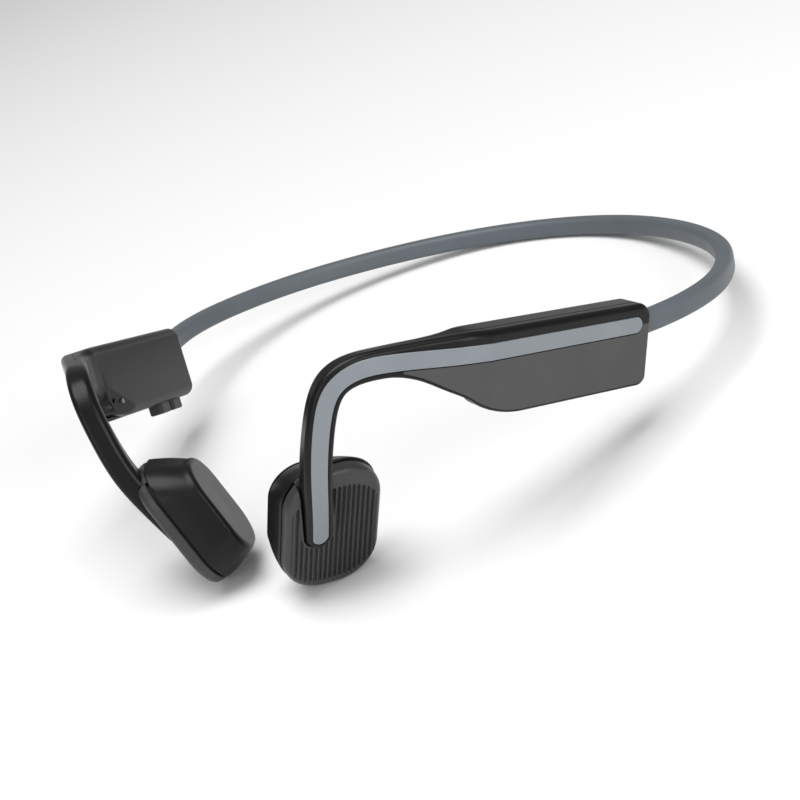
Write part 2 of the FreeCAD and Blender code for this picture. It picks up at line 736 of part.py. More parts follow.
BATTERY_AT = Vector(9.0, -1.6, -2.55)       # rear upper inner corner of the cell
FOAM_BORDER, FOAM_THICKNESS = 4.0, 0.45
SWITCH_AT = Vector(-4.2, 3.0, -2.7)         # middle of the function switch's board, on the face
SWITCH_RECESS, SWITCH_BOARD, SWITCH_DOME = 3.2, 3.0, 2.2     # radii
SWITCH_BOARD_THICKNESS, SWITCH_DOME_HEIGHT = 0.3, 0.78


def make_battery_parts():
    x, y, z = BATTERY_AT
    cell = rounded_block("battery_cell", at(UNIT, x, y, z), "battery_length", "battery_height",
                         "battery_thickness", "battery_corner")
    board = box("battery_board", at(UNIT, x + dim("battery_length") + 0.3, y + 0.2, z + 0.15),
                "board_thickness", "battery_height - 1.6", "battery_thickness - 0.3")
    foam = box("battery_foam", at(UNIT, x + FOAM_BORDER, y + 2.1, z - 0.05 - FOAM_THICKNESS),
               f"battery_length - 2 * {FOAM_BORDER}", "battery_height - 4", str(FOAM_THICKNESS))
    return {"battery_cell": cell, "battery_board": board, "battery_foam": foam}


def make_function_switch():
    """Dome switch and its disc board in a recess of the left transducer's case."""
    x, y, foot = SWITCH_AT
    board_top = foot + SWITCH_BOARD_THICKNESS
    recess = cylinder("switch_recess", at(FACE, x, y, foot), str(SWITCH_RECESS), "case_top")
    board = cylinder("function_board", at(FACE, x, y, foot), str(SWITCH_BOARD),
                     str(SWITCH_BOARD_THICKNESS))
    switch = cylinder("function_switch", at(FACE, x, y, board_top), str(SWITCH_DOME),
                      str(SWITCH_DOME_HEIGHT))
    return recess, {"function_board": board, "function_switch": switch}


# ---------------------------------------------------------------- electronics side

BUTTONS = {"volume_up": 7.9, "volume_down": 13.9}    # x of each volume button's middle
BUTTON_PLANE = -0.9                                 # z of their middles
BUTTON_FOOT, BUTTON_SHOULDER = 9.3, 9.9             # y of the flange's inner and outer faces
RIDGE_PITCH, RIDGE_GAP, RIDGE_DEPTH = 1.4, 0.7, 0.45
PORT_X, PORT_Z, PORT_TOP = 31.4, 0.4, 3.6           # middle of the socket and its closed end
TONGUE_HALF_WIDTH, TONGUE_HALF_THICKNESS = 3.35, 0.35
FLAP_X, FLAP_Y = 25.6, 11.0                         # middle of the flap's knuckle
MICROPHONE = (39.0, 7.7)
WINDOW = (36.2, 8.3)
HOLE_RADIUS = {"microphone": 0.45, "window": 0.5}
BOARD_AT = Vector(6.1, -1.8, -2.0)                  # rear upper inner corner of the main board
CAN_START, CAN_WALL, CAN_HEIGHT = 9.5, 0.3, 1.6


def make_volume_button(name, centre_x):
    """Push button through the housing floor: a flange inside, a ridged head outside."""
    frame = at(UNIT, centre_x, BUTTON_FOOT, BUTTON_PLANE, Rotation(Vector(1, 0, 0), -90))
    step = BUTTON_SHOULDER - BUTTON_FOOT
    body = new_body(name, frame)
    flange = new_sketch(body, name + "_flange_outline")
    round_box(flange, "button_length + 2 * button_flange", "button_width + button_flange", "0.5")
    pad(body, flange, f"{step:.1f}")
    head = new_sketch(body, name + "_head_outline", f"{step:.1f}")
    round_box(head, "button_length", "button_width", "0.8")
    pad(body, head, f"housing_drop - {BUTTON_SHOULDER} + button_stand")
    top = dim("housing_drop") - BUTTON_FOOT + dim("button_stand")
    grooves = [box(f"{name}_groove{index}",
                   at(frame, (index - 1) * RIDGE_PITCH - RIDGE_GAP / 2, -3, top - RIDGE_DEPTH),
                   str(RIDGE_GAP), "6", "1")
               for index in range(3)]
    return cut(name + "_button", body, *grooves)


def make_port():
    """USB-C socket: a metal shell with its tongue, open downward."""
    name = "usb_c_socket"
    body = new_body(name, at(UNIT, PORT_X, PORT_TOP, PORT_Z, Rotation(Vector(1, 0, 0), -90)))
    outside = new_sketch(body, name + "_outside")
    round_box(outside, "usb_width", "usb_height", "usb_corner")
    pad(body, outside, "usb_depth")
    mouth = new_sketch(body, name + "_mouth", "usb_depth")
    round_box(mouth, "usb_width - 2 * usb_wall", "usb_height - 2 * usb_wall",
              "usb_corner - usb_wall")
    pocket(body, mouth, "usb_depth - 1")
    tongue = new_sketch(body, name + "_tongue", "1")
    wide, thick = TONGUE_HALF_WIDTH, TONGUE_HALF_THICKNESS
    polygon(tongue, [(f"-{wide}", f"-{thick}"), (f"{wide}", f"-{thick}"), (f"{wide}", f"{thick}"),
                     (f"-{wide}", f"{thick}")])
    pad(body, tongue, "usb_depth - 2.2")
    return body


def make_flap():
    """Silicone cover of the socket, with a round knuckle on its rear end."""
    width = dim("flap_width")
    foot = PORT_Z - width / 2
    lid_frame = at(UNIT, FLAP_X, FLAP_Y + dim("flap_thickness") / 2, foot,
                   Rotation(Vector(1, 0, 0), 90))
    lid = box("usb_flap_lid", lid_frame, "flap_length - 0.4", "flap_width", "flap_thickness")
    knuckle = cylinder("usb_flap_knuckle", at(UNIT, FLAP_X, FLAP_Y, foot), "flap_thickness / 2",
                       "flap_width")
    return join("usb_cover_flap", lid, knuckle)


def make_electronics():
    x, y, z = BOARD_AT
    top = z + dim("board_thickness")
    nodes = {"main_board": box("main_board", at(UNIT, x, y, z), "board_length", "board_height",
                               "board_thickness")}
    can = box("can_outside", at(UNIT, x + CAN_START, y + 0.8, top), "10", "7", str(CAN_HEIGHT))
    hollow = box("can_inside", at(UNIT, x + CAN_START + CAN_WALL, y + 0.8 + CAN_WALL, top),
                 f"10 - 2 * {CAN_WALL}", f"7 - 2 * {CAN_WALL}", f"{CAN_HEIGHT} - {CAN_WALL}")
    nodes["radio_shield_can"] = cut("radio_shield_can", can, hollow)
    for label, centre_x in BUTTONS.items():
        nodes[f"{label}_button"] = make_volume_button(label, centre_x)
        nodes[f"{label}_switch"] = box(f"{label}_switch", at(UNIT, centre_x - 1.5, 7.4, top), "3",
                                       "1.45", "1.4")
    nodes["usb_c_socket"] = make_port()
    nodes["usb_cover_flap"] = make_flap()
    nodes["microphone"] = box("microphone", at(UNIT, MICROPHONE[0] - 1.2, MICROPHONE[1] - 1.3, -3.08),
                              "2.4", "2.6", "1")
    nodes["status_light"] = box("status_light", at(UNIT, WINDOW[0] - 0.5, 7.6, z - 0.9), "1", "0.9",
                                "0.9")
    nodes["status_window"] = cylinder("status_window", at(UNIT, *WINDOW, -dim("housing_inner")),
                                      str(HOLE_RADIUS["window"]), "wall")
    return nodes


def electronics_openings():
    """What is cut out of the right housing: button slots, socket mouth, flap recess and holes."""
    gap = dim("button_gap")
    tools = []
    for label, centre_x in BUTTONS.items():
        tools.append(box(f"{label}_slot",
                         at(UNIT, centre_x - dim("button_length") / 2 - gap, 9,
                            BUTTON_PLANE - dim("button_width") / 2 - gap),
                         "button_length + 2 * button_gap", "4", "button_width + 2 * button_gap"))
    tools.append(box("flap_recess", at(UNIT, FLAP_X - 0.5, FLAP_Y - 0.45, PORT_Z - 2.2),
                     "flap_length + 0.2", "2", "flap_width + 0.2"))
    tools.append(box("port_mouth", at(UNIT, PORT_X - 4.6, 9, PORT_Z - 1.7), "9.2", "2", "3.4"))
    below_wall = -dim("housing_inner") - 1
    for label, place in (("microphone", MICROPHONE), ("window", WINDOW)):
        tools.append(cylinder(f"{label}_hole", at(UNIT, *place, below_wall),
                              str(HOLE_RADIUS[label]), "wall + 1.8"))
    return tools


# ---------------------------------------------------------------- the whole set

def make_clamp(lines):
    """Block that grips the core wire inside the housing; the cable loom passes it."""
    block = box("clamp_block", at(UNIT, 3.3, -2.2, -2.2), "2.6", "5.2", "3.8")
    return cut("band_clamp_left", block, *lines)


def build():
    """All nodes of the set, by name."""
    nodes = make_neckband()
    lines = [nodes["neckband_core"], nodes["neckband_loom"]]
    hook_shape, strip_shape, core_shape, groove_shape = make_hook_parts()
    groove = shaped("strip_groove", groove_shape, UNIT)
    core_bore = shaped("core_bore", wire_along_hook(dim("hook_core_diameter") + 0.1, 0.6, 5.0,
                                                    dim("hook_thickness") / 2), UNIT)
    hole = band_hole()
    outer_blank, inner_blank = make_shells()
    outer = cut("outer_shell_left", outer_blank, groove, hole, core_bore)
    inner = cut("inner_shell_left", inner_blank, hole, core_bore)

    hook_raw = shaped("hook_raw", hook_shape, UNIT)
    under_face = box("under_face", at(FACE, -12, -12.9, -14), "24", "27", "14 - case_top")
    hook = cut("ear_hook_left", hook_raw, under_face, outer_blank, inner_blank)
    hook_core = shaped("hook_core_left", core_shape, UNIT)
    strip = shaped("trim_strip_left", strip_shape, UNIT)

    slot = shaped("hook_slot", hook_bar(HOOK_START + 2, dim("hook_width") + 0.7, 8.0, 0.6, 2.0), UNIT)
    ribs = shaped("rib_grooves", rib_grooves(), FACE)
    cover = cut("function_button", make_cover_blank("cover_blank"), slot, ribs)
    case = make_case("transducer_case_plain")
    recess, switch_nodes = make_function_switch()

    nodes.update({"outer_shell_left": outer, "inner_shell_left": inner, "ear_hook_left": hook,
                  "hook_core_left": hook_core, "trim_strip_left": strip, "function_button": cover,
                  "band_clamp_left": make_clamp(lines),
                  "transducer_case_left": cut("transducer_case_left", case, recess),
                  "ear_pad_left": make_pad("ear_pad_left")})
    nodes.update(make_motor("left"))
    nodes.update(make_battery_parts())
    nodes.update(switch_nodes)

    outer_open = cut("outer_shell_open", outer, *electronics_openings()[2:4])
    inner_open = cut("inner_shell_open", inner, *electronics_openings())
    twins = {"outer_shell_right": outer_open, "inner_shell_right": inner_open,
             "ear_hook_right": hook, "hook_core_right": hook_core, "trim_strip_right": strip,
             "ribbed_cover_right": cover, "band_clamp_right": nodes["band_clamp_left"],
             "transducer_case_right": case, "ear_pad_right": nodes["ear_pad_left"]}
    for piece in ("spring_plate", "voice_coil", "yoke", "magnet"):
        twins[f"right_{piece}"] = nodes[f"left_{piece}"]
    electronics = make_electronics()
    for name, source in twins.items():
        nodes[name] = mirrored(name, source)
    for name, source in electronics.items():
        source.Label = name + "_as_left"
        nodes[name] = mirrored(name, source)
    return nodes


def check(nodes):
    doc.recompute()
    for item in doc.Objects:
        if "Invalid" in item.State or "Error" in item.State:
            raise RuntimeError(f"{item.Name} failed: {item.State}")
    for name, node in nodes.items():
        if node.Shape.isNull() or not node.Shape.isValid() or not node.Shape.Solids:
            raise RuntimeError(f"{name} is not a valid solid")
    total = FreeCAD.BoundBox()
    for name, node in nodes.items():
        total.add(node.Shape.optimalBoundingBox(False))
    print(f"x {total.XMin:.2f} {total.XMax:.2f}  y {total.YMin:.2f} {total.YMax:.2f}  "
          f"z {total.ZMin:.2f} {total.ZMax:.2f}")


NODES = build()
check(NODES)
os.makedirs("parts", exist_ok=True)
for node_name, node in NODES.items():
    node.Shape.exportStep(f"parts/{node_name}.step")
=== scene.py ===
import math
import bmesh
import bpy
import numpy as np
from mathutils import Matrix, Vector


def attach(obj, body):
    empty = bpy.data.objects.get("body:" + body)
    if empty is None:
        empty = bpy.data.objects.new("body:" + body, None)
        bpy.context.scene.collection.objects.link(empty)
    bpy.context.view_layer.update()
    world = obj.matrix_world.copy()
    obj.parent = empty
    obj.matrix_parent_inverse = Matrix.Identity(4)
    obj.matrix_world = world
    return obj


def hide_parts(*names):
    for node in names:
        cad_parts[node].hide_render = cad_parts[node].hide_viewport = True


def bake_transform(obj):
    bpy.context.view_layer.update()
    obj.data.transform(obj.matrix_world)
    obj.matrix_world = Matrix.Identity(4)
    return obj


# Looks of the bone conduction headphones: the visible skins of the neckband, housings, hooks and
# transducers, built in millimetres in the same part frames as the CAD and written out in metres.

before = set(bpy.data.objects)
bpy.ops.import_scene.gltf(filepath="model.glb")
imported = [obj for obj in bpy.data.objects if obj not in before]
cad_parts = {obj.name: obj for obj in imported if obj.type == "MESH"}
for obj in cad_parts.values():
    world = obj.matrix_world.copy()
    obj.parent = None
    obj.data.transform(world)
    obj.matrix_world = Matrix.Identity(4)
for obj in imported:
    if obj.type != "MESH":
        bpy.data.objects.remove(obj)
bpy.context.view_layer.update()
MM = 0.001
SHARP_ANGLE = math.radians(32)     # edges that turn more than this are drawn sharp


# ---------------------------------------------------------------- frames

def move(x, y, z):
    return Matrix.Translation((x, y, z))


def turn(axis, degrees):
    return Matrix.Rotation(math.radians(degrees), 4, axis)


STAND = move(-68.7, 0, 2.16) @ turn("Y", -8.635)
BAND = STAND @ turn("Y", -3.4)
UNIT = STAND @ move(79.15, 56.43, 5.71) @ turn("Z", -18) @ turn("Y", -15) @ turn("X", -96.9)
FACE = UNIT @ move(56.17, 33.3, -16.18) @ turn("Z", 7.6) @ turn("Y", 13.2) @ turn("X", -17.4)


def placed(matrix, points):
    """Points of a part frame, in millimetres, carried to the row frame."""
    m = np.array(matrix)
    return np.asarray(points) @ m[:3, :3].T + m[:3, 3]


# ---------------------------------------------------------------- mesh helpers

def mesh_piece(name, points, faces, material, side="left"):
    """Object from points in the row frame in millimetres; the right side is the left's mirror."""
    points = np.array(points, float)
    if side == "right":
        points[:, 1] *= -1
        faces = [tuple(reversed(face)) for face in faces]
    mesh = bpy.data.meshes.new(name)
    mesh.from_pydata([tuple(p) for p in points * MM], [], [tuple(f) for f in faces])
    mesh.materials.append(material)
    mesh.polygons.foreach_set("use_smooth", [True] * len(mesh.polygons))
    mesh.update()
    piece = bpy.data.objects.new(name, mesh)
    bpy.context.scene.collection.objects.link(piece)
    return piece


def tube_faces(rings, count):
    """Quads between closed rings of count points, and a face over each end."""
    faces = []
    for ring in range(rings - 1):
        for index in range(count):
            after = (index + 1) % count
            faces.append((ring * count + index, ring * count + after,
                          (ring + 1) * count + after, (ring + 1) * count + index))
    faces.append(tuple(reversed(range(count))))
    faces.append(tuple((rings - 1) * count + index for index in range(count)))
    return faces


def face_outward(piece):
    """Turns every face outward, and marks the sharp edges."""
    mesh = bmesh.new()
    mesh.from_mesh(piece.data)
    bmesh.ops.recalc_face_normals(mesh, faces=mesh.faces)
    mesh.to_mesh(piece.data)
    mesh.free()
    piece.data.set_sharp_from_angle(angle=SHARP_ANGLE)
    return piece


def corner_arc(centre, radius, start, end, steps):
    """Points of an arc in a section plane, angles in degrees."""
    return [(centre[0] + radius * math.cos(math.radians(start + (end - start) * i / steps)),
             centre[1] + radius * math.sin(math.radians(start + (end - start) * i / steps)))
            for i in range(steps + 1)]


def between(first, last, steps):
    return [(first[0] + (last[0] - first[0]) * i / steps, first[1] + (last[1] - first[1]) * i / steps)
            for i in range(1, steps)]


def round_outline(width, height, corner, count=24):
    """Closed outline of a rectangle with round corners, evenly stepped in each part."""
    w, h = width / 2 - corner, height / 2 - corner
    outline = []
    for (cx, cy), start in (((w, h), 0), ((-w, h), 90), ((-w, -h), 180), ((w, -h), 270)):
        arc = corner_arc((cx, cy), corner, start, start + 90, count)
        if outline:
            outline += between(outline[-1], arc[0], 6)
        outline += arc
    outline += between(outline[-1], outline[0], 6)
    return np.array(outline)


# ---------------------------------------------------------------- materials

def principled(name, colour, roughness, **sockets):
    material = bpy.data.materials.new(name)
    material.use_nodes = True
    shader = material.node_tree.nodes["Principled BSDF"]
    shader.inputs["Base Color"].default_value = (*colour, 1)
    shader.inputs["Roughness"].default_value = roughness
    for socket, value in sockets.items():
        shader.inputs[socket.replace("_", " ")].default_value = value
    return material, shader


def noise(tree, scale):
    """Noise fixed to the object, which is in metres: a larger scale is a finer grain."""
    place = tree.nodes.new("ShaderNodeTexCoord")
    texture = tree.nodes.new("ShaderNodeTexNoise")
    texture.inputs["Scale"].default_value = scale
    texture.inputs["Detail"].default_value = 2.0
    tree.links.new(place.outputs["Object"], texture.inputs["Vector"])
    return texture


MOTTLE_SCALE, ROUGHNESS_SPREAD = 95, 0.07


def finish_material(name, colour, roughness, grain=4200, grain_depth=0.000006, mottle=0.06,
                    **sockets):
    """Moulded finish: a fine bump grain, with colour and roughness wandering slowly."""
    material, shader = principled(name, colour, roughness, **sockets)
    tree = material.node_tree
    slow = noise(tree, MOTTLE_SCALE)
    ramp = tree.nodes.new("ShaderNodeValToRGB")
    ramp.color_ramp.elements[0].position = 0.3
    ramp.color_ramp.elements[1].position = 0.7
    ramp.color_ramp.elements[0].color = (*[c * (1 - mottle) for c in colour], 1)
    ramp.color_ramp.elements[1].color = (*[c * (1 + mottle) for c in colour], 1)
    tree.links.new(slow.outputs["Fac"], ramp.inputs["Fac"])
    tree.links.new(ramp.outputs["Color"], shader.inputs["Base Color"])
    fine = noise(tree, grain)
    spread = tree.nodes.new("ShaderNodeMapRange")
    spread.inputs["To Min"].default_value = roughness - ROUGHNESS_SPREAD
    spread.inputs["To Max"].default_value = roughness + ROUGHNESS_SPREAD
    tree.links.new(fine.outputs["Fac"], spread.inputs["Value"])
    tree.links.new(spread.outputs["Result"], shader.inputs["Roughness"])
    bump = tree.nodes.new("ShaderNodeBump")
    bump.inputs["Strength"].default_value = 0.5
    bump.inputs["Distance"].default_value = grain_depth
    tree.links.new(fine.outputs["Fac"], bump.inputs["Height"])
    tree.links.new(bump.outputs["Normal"], shader.inputs["Normal"])
    return material


SILICONE = finish_material("neckband_silicone", (0.094, 0.109, 0.122), 0.48, mottle=0.05,
                           Specular_IOR_Level=0.4)
PLATE = finish_material("outer_plate_soft_touch", (0.058, 0.058, 0.059), 0.55, grain=5200,
                        Specular_IOR_Level=0.35)
SHELL = finish_material("inner_shell_satin", (0.0045, 0.0045, 0.0048), 0.32, grain=5200,
                        Specular_IOR_Level=0.22)
HOOK = finish_material("hook_skin", (0.0045, 0.0045, 0.0048), 0.32, grain=5200,
                       Specular_IOR_Level=0.22)
STRIP = finish_material("trim_strip_satin", (0.215, 0.236, 0.256), 0.32, grain=2600,
                        grain_depth=0.000002, mottle=0.03, Metallic=0.35)
COVER = finish_material("ribbed_cover_rubber", (0.032, 0.032, 0.033), 0.38, grain=5200,
                        Specular_IOR_Level=0.4)
PAD = finish_material("ear_pad_silicone", (0.006, 0.006, 0.0063), 0.36, grain=4600,
                      Specular_IOR_Level=0.22)
BUTTON = finish_material("button_rubber", (0.012, 0.012, 0.0125), 0.45)
CASE = finish_material("inner_plastic", (0.008, 0.008, 0.008), 0.55)
STEEL = finish_material("bright_steel", (0.60, 0.60, 0.61), 0.28, grain=3000, Metallic=1.0)
COPPER = finish_material("copper_wire", (0.62, 0.26, 0.13), 0.35, Metallic=1.0)
BOARD = finish_material("solder_mask", (0.010, 0.075, 0.035), 0.30)
FOIL = finish_material("battery_foil", (0.55, 0.56, 0.58), 0.35, Metallic=0.8)
FOAM = finish_material("foam", (0.015, 0.015, 0.015), 0.9, grain=1600, grain_depth=0.00006)
BLACK = finish_material("moulded_black", (0.014, 0.014, 0.015), 0.35)
WINDOW = finish_material("smoked_window", (0.05, 0.055, 0.06), 0.12, Coat_Weight=0.6)

NODE_MATERIALS = {
    "hook_core": STEEL, "band_clamp": CASE, "transducer_case": CASE, "spring_plate": STEEL,
    "yoke": STEEL, "magnet": STEEL, "voice_coil": COPPER, "battery_cell": FOIL, "battery_foam": FOAM,
    "board": BOARD, "switch": BLACK, "radio_shield_can": STEEL, "usb_c_socket": STEEL,
    "microphone": BLACK, "status_light": BLACK, "status_window": WINDOW,
}
for node_name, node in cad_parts.items():
    for part_of_name, material in NODE_MATERIALS.items():
        if part_of_name in node_name:
            node.data.materials.clear()
            node.data.materials.append(material)


# ---------------------------------------------------------------- hook line

HOOK_LINE = (
    # middle of the outer face, and which way that face looks
    ((39.0, 0.0, 3.45), (0.00, 0.00, 1.00)),
    ((42.6, 0.1, 2.66), (0.33, 0.00, 0.94)),
    ((45.7, 0.4, 1.08), (0.46, 0.00, 0.89)),
    ((49.7, 0.7, -1.08), (0.47, -0.02, 0.88)),
    ((54.2, 1.1, -3.45), (0.46, -0.05, 0.89)),
    ((58.9, 1.9, -5.70), (0.45, -0.05, 0.89)),
    ((62.5, 4.0, -7.45), (0.45, 0.12, 0.89)),
    ((64.5, 7.8, -8.50), (0.43, 0.16, 0.89)),
    ((64.6, 14.5, -9.70), (0.37, 0.20, 0.90)),
    ((63.5, 21.6, -11.2), (0.27, 0.28, 0.92)),
    ((61.4, 28.2, -13.5), (0.19, 0.32, 0.93)),
    ((59.4, 34.0, -15.9), (0.176, 0.325, 0.929)),
)
LAST = len(HOOK_LINE) - 1
FLAT_END, _, OUTER_FACE = HOOK_LINE[0][0]      # the flat outer face ends here, at this height


def cubic(values):
    """Smooth curve through values at 0, 1, 2 ...: gives the value and slope at any place."""
    values = np.array(values, float)
    count = len(values)
    system = np.zeros((count, count))
    right = np.zeros(values.shape)
    system[0, :2] = 2, 1
    system[-1, -2:] = 1, 2
    right[0] = 3 * (values[1] - values[0])
    right[-1] = 3 * (values[-1] - values[-2])
    for i in range(1, count - 1):
        system[i, i - 1:i + 2] = 1, 4, 1
        right[i] = 3 * (values[i + 1] - values[i - 1])
    slopes = np.linalg.solve(system, right)

    def curve(place):
        i = min(max(int(math.floor(place)), 0), count - 2)
        t = place - i
        rise = values[i + 1] - values[i]
        c = 3 * rise - 2 * slopes[i] - slopes[i + 1]
        d = slopes[i] + slopes[i + 1] - 2 * rise
        return values[i] + slopes[i] * t + c * t * t + d * t ** 3, slopes[i] + 2 * c * t + 3 * d * t * t

    return curve


hook_point = cubic([point for point, _ in HOOK_LINE])
hook_normal = cubic([outward for _, outward in HOOK_LINE])


def unit_vector(v):
    return v / np.linalg.norm(v)


def station(place):
    """Frame of a section. Below 0 the section stands across the flat housing, at x = FLAT_END + place;
    from 0 to LAST it follows the hook, square with it from 1 on; past LAST it runs on straight by that
    many millimetres."""
    if place <= 0:
        point, tangent, outward = (np.array([FLAT_END + place, 0, OUTER_FACE]), np.array([1.0, 0, 0]),
                                   np.array([0, 0, 1.0]))
    else:
        along = min(place, LAST)
        point, slope = hook_point(along)
        tangent = unit_vector(slope)
        outward = hook_normal(along)[0]
        outward = unit_vector(outward - tangent * outward.dot(tangent) * ease(place))
        if place > LAST:
            point = point + tangent * (place - LAST)
    return point, tangent, unit_vector(np.cross(tangent, outward)), outward


# ---------------------------------------------------------------- housing and hook sections

TOP, DROP, REAR_ROUND = 3.6, 11.4, 2.0
SLANT_X, SLANT_Y, SLANT = 46.9, 6.2, 0.523     # the slanted lower edge passes this point, this steep
HOOK_START = 3.75
STRIP_HALF, STRIP_GAP, STRIP_DEEP = 1.5, 0.14, 0.72
STRIP_REAR = 3.7
ARM_HALF, ARM_THICK = 2.5, 4.4
INNER_FACE = -4.3
FRONT_DRAFT = 0.34                             # the slanted lower wall of the inner shell draws in
ARM_MEETS, ARM_FALL = 46.4, 0.526              # the hook's inner face leaves the housing's here, this steep
SPLIT, SEAM_GAP = 2.4, 0.07


def ease(t):
    t = min(max(t, 0.0), 1.0)
    return t * t * (3 - 2 * t)


def blend_min(a, b, width):
    h = max(width - abs(a - b), 0) / width
    return min(a, b) - h * h * width / 4


def rear_round(x, radius):
    """How much a round rear edge takes off at the distance x from the rear."""
    if x >= radius:
        return 0.0
    return radius - math.sqrt(max(radius ** 2 - (radius - x) ** 2, 0))


def section_size(place, point):
    """How far the section reaches up and down from the strip's line."""
    if place > 6:
        return ARM_HALF, ARM_HALF
    x, y, _ = point
    up = TOP + (ARM_HALF - TOP) * ease((x - 42) / 16) - rear_round(x, REAR_ROUND)
    low = blend_min(DROP, SLANT_Y + (SLANT_X - x) * SLANT, 3.0)
    down = -blend_min(-low + y, -ARM_HALF, 2.2) - rear_round(x, REAR_ROUND)
    return up, down


def channel_half(place, point):
    """Half width of the strip's channel at a station, or 0 where there is none."""
    reach = STRIP_HALF + STRIP_GAP
    if place <= 0 and point[0] < STRIP_REAR:
        return math.sqrt(max(reach ** 2 - (STRIP_REAR - point[0]) ** 2, 0))
    if place > LAST:
        return math.sqrt(max(reach ** 2 - (place - LAST) ** 2, 0))
    return reach


def outer_layer(place, point, thickness, edge, top_edge, low_edge):
    """Closed section of a layer that begins at the outer face and holds the channel. Its upper
    edge may be rounder than its lower one."""
    up, down = section_size(place, point)
    if place > LAST:
        narrow = math.sqrt(max(ARM_HALF ** 2 - (place - LAST) ** 2, 0.0))
        up = down = max(narrow, 0.05)
    edge = min(edge, up * 0.8)
    top_edge = min(top_edge, up * 0.8, thickness - low_edge - 0.05)
    low_edge = min(low_edge, up * 0.8, thickness - edge - 0.05)
    half = min(channel_half(place, point), up - max(edge, top_edge) * 0.9)
    half = max(half, 0.0)
    deep = STRIP_DEEP if half > 0.01 else 0.0
    half = max(half, 0.01)
    ring = []
    ring += between((half, 0), (up - top_edge, 0), 8)
    ring += corner_arc((up - top_edge, -top_edge), top_edge, 90, 0, 10)
    ring += between((up, -top_edge), (up, -thickness + low_edge), 6)
    ring += corner_arc((up - low_edge, -thickness + low_edge), low_edge, 0, -90, 8)
    ring += between((up - low_edge, -thickness), (-down + low_edge, -thickness), 40)
    ring += corner_arc((-down + low_edge, -thickness + low_edge), low_edge, -90, -180, 8)
    ring += between((-down, -thickness + low_edge), (-down, -edge), 6)
    ring += corner_arc((-down + edge, -edge), edge, 180, 90, 8)
    ring += between((-down + edge, 0), (-half, 0), 20)
    ring += [(-half, 0), (-half, -deep * 0.5), (-half, -deep), (0, -deep), (half, -deep),
             (half, -deep * 0.5), (half, 0)]
    return ring


def inner_face(x):
    """Height of the housing's flat inner face, which runs on into the inner face of the hook."""
    return blend_min(INNER_FACE, INNER_FACE - ARM_FALL * (x - ARM_MEETS), 1.4)


def inner_direction(place, outward):
    """The inner shell stands upright, and leans with the hook only where they join."""
    lean = ease(place / HOOK_START)
    return unit_vector(outward * lean + np.array([0, 0, 1.0]) * (1 - lean))


def inner_layer(place, point, start, edge):
    """Closed section of the inner shell: from the parting line to the inner face."""
    up, down = section_size(place, point)
    outward = station(place)[3]
    direction = inner_direction(place, outward)
    seam = point - outward * start
    foot_x = seam[0] - direction[0] * (seam[2] - inner_face(seam[0]))
    low = start + (seam[2] - inner_face(foot_x)) / direction[2]
    edge = min(edge, (low - start) * 0.9, up * 0.8)
    small = 0.12
    ring = []
    ring += between((-down + small, -start), (up - small, -start), 30)
    ring += corner_arc((up - small, -start - small), small, 90, 0, 3)
    ring += between((up, -start - small), (up, -low + edge), 10)
    ring += corner_arc((up - edge, -low + edge), edge, 0, -90, 12)
    ring += between((up - edge, -low), (-down + edge, -low), 90)
    ring += corner_arc((-down + edge, -low + edge), edge, -90, -180, 12)
    ring += between((-down, -low + edge), (-down, -start - small), 10)
    ring += corner_arc((-down + small, -start - small), small, 180, 90, 3)
    tuck = FRONT_DRAFT * ease((point[0] - 37) / 5) * (1 - ease((place - 2) / 1.7))
    return [(a - tuck * (h + start) * max(-a, 0) / down, h) for a, h in ring]


def lay_sections(places, section, upright_below=math.inf):
    """Points of the sections at the places, in the unit frame. Deeper than upright_below they take
    the inner shell's direction."""
    points = []
    for place in places:
        point, _, across, outward = station(place)
        inner = inner_direction(place, outward)
        for a, h in section(place, point):
            leaning = max(h, -upright_below)
            points.append(point + across * a + outward * leaning + inner * (h - leaning))
    return np.array(points), len(points) // len(places)


def lean_rear(points):
    """The rear edge leans: its foot lies half a millimetre further forward than its top."""
    slide = np.clip((points[:, 1] + TOP) / (TOP + DROP), 0, 1) * 0.5
    points[:, 0] += slide * np.clip(1 - points[:, 0] / 12, 0, 1)
    return points


CREASE_X, CREASE_Y = 46, 2                     # the crease of the facet passes this point
CREASE_ACROSS = np.array([9, 17]) / math.hypot(9, 17)
FACET_WIDE, FACET_SLOPE, FACET_FADE = 6, 0.36, 6


def sink_facet(points):
    """The lower front of the inner face slopes outward beyond a diagonal crease."""
    beyond = (points[:, :2] - (CREASE_X, CREASE_Y)) @ CREASE_ACROSS
    fade = np.clip((CREASE_X - points[:, 0]) / FACET_FADE, 0, 1)
    floor = INNER_FACE + np.clip(beyond, 0, FACET_WIDE) * FACET_SLOPE
    raised = np.maximum(points[:, 2], floor)
    points[:, 2] += np.where(beyond > 0, (raised - points[:, 2]) * fade, 0)
    return points


def rear_places():
    rounding = [0.0, 0.05, 0.12, 0.25, 0.4, 0.6, 0.85, 1.1, 1.4, 1.7, 2.0]
    cap = [2.065, 2.075, 2.11, 2.18, 2.3, 2.5, 2.8, 3.2, STRIP_REAR]
    return [x - FLAT_END for x in rounding + cap]


TIP = [LAST + ARM_HALF * math.sin(math.radians(a)) for a in
       (6, 12, 18, 24, 30, 35, 38, 40.0, 40.3, 45, 52, 60, 68, 75, 81, 86, 89)]
RUN = list(np.arange(4.5, FLAT_END, 0.7) - FLAT_END)
HOUSING_PLACES = rear_places() + RUN + list(np.linspace(0, HOOK_START, 56))
HOOK_PLACES = list(np.linspace(HOOK_START, LAST, 130)) + TIP


